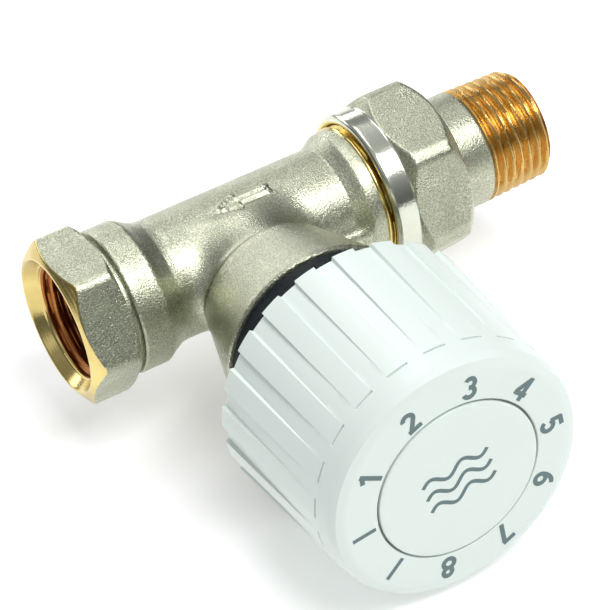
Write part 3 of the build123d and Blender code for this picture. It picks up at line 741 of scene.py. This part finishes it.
# ---------------------------------------------------------------- build
body_casting = casting()
inlet = inlet_end()
spigot = union_end()
for piece, slot_name in ((body_casting, "nickel_body"), (inlet, "nickel_body"), (spigot, "brass")):
    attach(piece, "body")
    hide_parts("valve_body")

nut = union_nut()
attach(nut, "nut")
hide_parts("union_nut")

tail = tailpiece()
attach(tail, "tail")
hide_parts("tailpiece")

wheel = handwheel()
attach(wheel, "knob")
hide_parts("handwheel")

disc = cap_disc()
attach(disc, "knob")
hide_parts("cap_disc")

for mark in [heat_symbol(), *dial_marks()]:
    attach(mark, "knob")

NODE_FINISH = {
    "tail_oring": RUBBER, "bonnet_insert": PLAIN_BRASS, "bonnet_oring": RUBBER, "gland_nut": PLAIN_BRASS,
    "gland_oring": RUBBER, "gland_washer": STEEL, "return_spring": STEEL, "spindle": STEEL,
    "spindle_clip": STEEL, "valve_disc": PLAIN_BRASS, "disc_seal": RUBBER, "seal_screw": STEEL,
    "base_ring": BLACK, "base_screws": STEEL, "stop_ring": BLACK, "setting_sleeve": GREY,
    "sensor_housing": COPPER, "sensor_cover": COPPER, "bellows": PLAIN_BRASS, "push_rod": GREY,
    "overtravel_spring": STEEL, "spring_cap": GREY, "valve_body": BLASTED, "union_nut": BLASTED,
    "tailpiece": BLASTED, "handwheel": WHITE, "cap_disc": WHITE,
}
for name, finish in NODE_FINISH.items():
    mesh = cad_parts[name].data
    mesh.materials.clear()
    mesh.materials.append(finish)

# ---------------------------------------------------------------- stage, lights, camera
LAMP_TARGET = Vector((0.038, -0.02, 0.0))
floor_z = packed_bounds[0].z - 0.0002
floor_mesh = bpy.data.meshes.new("floor")
reach = 1.5
floor_mesh.from_pydata([(-reach, -reach, floor_z), (reach, -reach, floor_z), (reach, reach, floor_z),
                        (-reach, reach, floor_z)], [], [(0, 1, 2, 3)])
floor = bpy.data.objects.new("floor", floor_mesh)
bpy.context.scene.collection.objects.link(floor)
FLOOR = finish_material("floor_pale", (0.93, 0.93, 0.92), 0.0, 0.7, tint=(0.92, 0.92, 0.91), tint_size=80,
                        glow=0.26)
floor_mesh.materials.append(FLOOR)

world = bpy.data.worlds.new("studio")
bpy.context.scene.world = world
world.use_nodes = True
sky = world.node_tree
direction = sky.nodes.new("ShaderNodeTexCoord")
split = sky.nodes.new("ShaderNodeSeparateXYZ")
ramp = sky.nodes.new("ShaderNodeValToRGB")
sky.links.new(direction.outputs["Generated"], split.inputs[0])
sky.links.new(split.outputs["Z"], ramp.inputs[0])
ramp.color_ramp.elements[0].position = 0.0
ramp.color_ramp.elements[0].color = (0.16, 0.165, 0.17, 1)
ramp.color_ramp.elements[1].position = 0.85
ramp.color_ramp.elements[1].color = (0.95, 0.97, 1.0, 1)
middle = ramp.color_ramp.elements.new(0.35)
middle.color = (0.42, 0.43, 0.44, 1)
sky.links.new(ramp.outputs[0], sky.nodes["Background"].inputs["Color"])
sky.nodes["Background"].inputs["Strength"].default_value = 0.5
bpy.context.scene.view_settings.view_transform = "Standard"


def backwards(azimuth, elevation):
    """Unit vector from the object towards a place in the studio, angles in degrees."""
    a = math.radians(azimuth)
    e = math.radians(elevation)
    return Vector((math.cos(e) * math.cos(a), math.cos(e) * math.sin(a), math.sin(e)))


def softbox(name, azimuth, elevation, distance, width, height, power):
    """Rectangular lamp aimed at the middle of the valve."""
    light = bpy.data.lights.new(name, "AREA")
    light.shape = "RECTANGLE"
    light.size = width
    light.size_y = height
    light.energy = power
    thing = bpy.data.objects.new(name, light)
    bpy.context.scene.collection.objects.link(thing)
    back = backwards(azimuth, elevation)
    thing.location = LAMP_TARGET + back * distance
    thing.rotation_mode = "QUATERNION"
    thing.rotation_quaternion = back.to_track_quat("Z", "Y")


softbox("key", -70, 60, 0.9, 0.50, 0.40, 5.8)
softbox("fill", -165, 40, 0.9, 0.35, 0.5, 0.25)
softbox("top", 75, 66, 0.8, 0.30, 0.6, 1.7)
softbox("back", 95, 16, 1.1, 1.2, 0.3, 3.4)

CAMERA_AZIMUTH = -115.96
CAMERA_ELEVATION = 39.6
CAMERA_ROLL = -7.03
CAMERA_DISTANCE = 0.5496
CAMERA_TARGET = Vector((0.0395, -0.0096, -0.0099))
camera_data = bpy.data.cameras.new("camera")
camera_data.lens = 185.6
camera_data.sensor_width = 36
camera = bpy.data.objects.new("camera", camera_data)
bpy.context.scene.collection.objects.link(camera)
back = backwards(CAMERA_AZIMUTH, CAMERA_ELEVATION)
camera.location = CAMERA_TARGET + back * CAMERA_DISTANCE
camera.rotation_mode = "QUATERNION"
roll = Matrix.Rotation(math.radians(CAMERA_ROLL), 4, "Z").to_quaternion()
camera.rotation_quaternion = back.to_track_quat("Z", "Y") @ roll
bpy.context.scene.camera = camera
